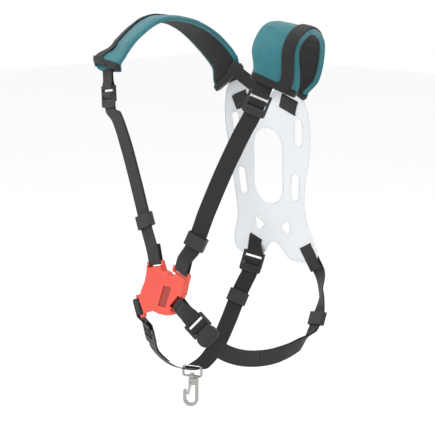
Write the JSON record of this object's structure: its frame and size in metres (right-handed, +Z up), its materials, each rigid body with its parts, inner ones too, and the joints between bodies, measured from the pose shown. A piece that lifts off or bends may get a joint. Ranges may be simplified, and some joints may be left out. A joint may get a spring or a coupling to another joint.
{
  "type": "safety harness",
  "caption": "Double shoulder harness with padded straps, a moulded back plate, a chest release unit, ladder-lock adjusters and a hip snap hook that carries a tool.",
  "frame": {"origin": "between the wearer's shoulders, level with the top of them", "axes": "+X towards the wearer's left, +Y towards the wearer's back, +Z up"},
  "size_m": [0.4196, 0.2921, 0.7328],
  "materials": {
    "plate_plastic": "satin",
    "buckle_plastic": "satin",
    "pad_cloth": "matte",
    "lining_cloth": "matte",
    "foam": "matte",
    "binding_tape": "matte",
    "webbing": "matte",
    "chest_plastic": "satin",
    "button_plastic": "satin",
    "screw_steel": "satin",
    "spring_steel": "satin",
    "hook_steel": "polished",
    "gate_steel": "satin"
  },
  "bodies": {
    "harness": {"back_plate": "plate_plastic", "chest_back": "chest_plastic", "chest_screw_lower": "screw_steel", "chest_screw_side": "screw_steel", "chest_screw_upper": "screw_steel", "chest_shell": "chest_plastic", "chest_tongue": "button_plastic", "left_chest_web": "webbing", "left_load_strap": "webbing", "left_pad_cover": "pad_cloth", "left_pad_foam": "foam", "left_pad_front_binding": "binding_tape", "left_pad_lining": "lining_cloth", "left_pad_rear_binding": "binding_tape", "left_pad_tape": "webbing", "left_pad_web": "webbing", "left_shoulder_strap": "webbing", "left_shoulder_tail": "webbing", "left_waist_strap": "webbing", "left_waist_tail": "webbing", "right_chest_web": "webbing", "right_hip_strap_front": "webbing", "right_hip_strap_rear": "webbing", "right_hip_tail": "webbing", "right_leg_tail": "webbing", "right_leg_web": "webbing", "right_load_strap": "webbing", "right_pad_cover": "pad_cloth", "right_pad_foam": "foam", "right_pad_front_binding": "binding_tape", "right_pad_lining": "lining_cloth", "right_pad_rear_binding": "binding_tape", "right_pad_tape": "webbing", "right_pad_web": "webbing", "right_shoulder_strap": "webbing", "right_shoulder_tail": "webbing", "yoke_web": "webbing"},
    "left_shoulder_adjuster": {"left_shoulder_lock": "buckle_plastic", "left_shoulder_wrap": "webbing"},
    "right_shoulder_adjuster": {"right_shoulder_lock": "buckle_plastic", "right_shoulder_wrap": "webbing"},
    "left_waist_adjuster": {"left_waist_lock": "buckle_plastic", "left_waist_wrap": "webbing"},
    "right_hip_adjuster": {"right_hip_lock": "buckle_plastic", "right_hip_wrap": "webbing"},
    "right_leg_adjuster": {"right_leg_lock": "buckle_plastic", "right_leg_wrap": "webbing"},
    "left_shoulder_slider": {"left_shoulder_keeper": "buckle_plastic"},
    "right_shoulder_slider": {"right_shoulder_keeper": "buckle_plastic"},
    "left_waist_slider": {"left_waist_keeper": "buckle_plastic"},
    "right_leg_slider": {"right_leg_keeper": "buckle_plastic"},
    "release_button": {"chest_button": "button_plastic", "button_spring": "spring_steel"},
    "ring": {"hook_ring": "hook_steel"},
    "hook": {"hook_stud": "hook_steel", "hook_body": "hook_steel", "gate_pin": "hook_steel", "gate_spring": "spring_steel"},
    "gate": {"hook_gate": "gate_steel"}
  },
  "joints": [
    {"name": "left_shoulder_lift", "type": "hinge", "parent": "harness", "child": "left_shoulder_adjuster", "pos_m": [0.1465, -0.074, -0.113], "axis": [-0.7112, -0.591, 0.3806], "range_deg": [0, 40]},
    {"name": "right_shoulder_lift", "type": "hinge", "parent": "harness", "child": "right_shoulder_adjuster", "pos_m": [-0.17, -0.131, -0.119], "axis": [-0.9774, 0.1496, -0.1496], "range_deg": [0, 40]},
    {"name": "left_waist_lift", "type": "hinge", "parent": "harness", "child": "left_waist_adjuster", "pos_m": [0.0576, -0.146, -0.5065], "axis": [-0.5623, -0.4016, -0.7229], "range_deg": [0, 40]},
    {"name": "right_hip_lift", "type": "hinge", "parent": "harness", "child": "right_hip_adjuster", "pos_m": [-0.084, -0.12, -0.547], "axis": [-0.9329, 0.3042, 0.1927], "range_deg": [0, 40]},
    {"name": "right_leg_lift", "type": "hinge", "parent": "harness", "child": "right_leg_adjuster", "pos_m": [-0.037, 0.112, -0.439], "axis": [-0.8804, -0.4202, 0.2201], "range_deg": [0, 40]},
    {"name": "left_shoulder_slide", "type": "slide", "parent": "harness", "child": "left_shoulder_slider", "axis": [0.3585, 0.197, 0.9125], "range_m": [-0.006, 0.006]},
    {"name": "right_shoulder_slide", "type": "slide", "parent": "harness", "child": "right_shoulder_slider", "axis": [-0.4206, 0.0777, 0.9039], "range_m": [-0.006, 0.006]},
    {"name": "left_waist_slide", "type": "slide", "parent": "harness", "child": "left_waist_slider", "axis": [0.095, -0.4693, -0.8779], "range_m": [-0.006, 0.006]},
    {"name": "right_leg_slide", "type": "slide", "parent": "harness", "child": "right_leg_slider", "axis": [-0.1543, -0.4035, -0.9019], "range_m": [-0.006, 0.006]},
    {"name": "button_press", "type": "slide", "parent": "harness", "child": "release_button", "axis": [0, 1, 0], "range_m": [0, 0.003], "stiffness_N_per_m": 400},
    {"name": "ring_swing", "type": "hinge", "parent": "harness", "child": "ring", "pos_m": [-0.091, 0, -0.6466], "axis": [0.9272, 0.3746, 0], "range_deg": [-22, 22]},
    {"name": "hook_swivel", "type": "hinge", "parent": "ring", "child": "hook", "pos_m": [-0.091, 0, -0.66825], "axis": [0, 0, 1], "continuous": true},
    {"name": "gate_open", "type": "hinge", "parent": "hook", "child": "gate", "pos_m": [-0.09349, -0.00168, -0.67665], "axis": [0.5592, -0.829, 0], "range_deg": [0, 20], "stiffness_Nm_per_rad": 0.03}
  ]
}
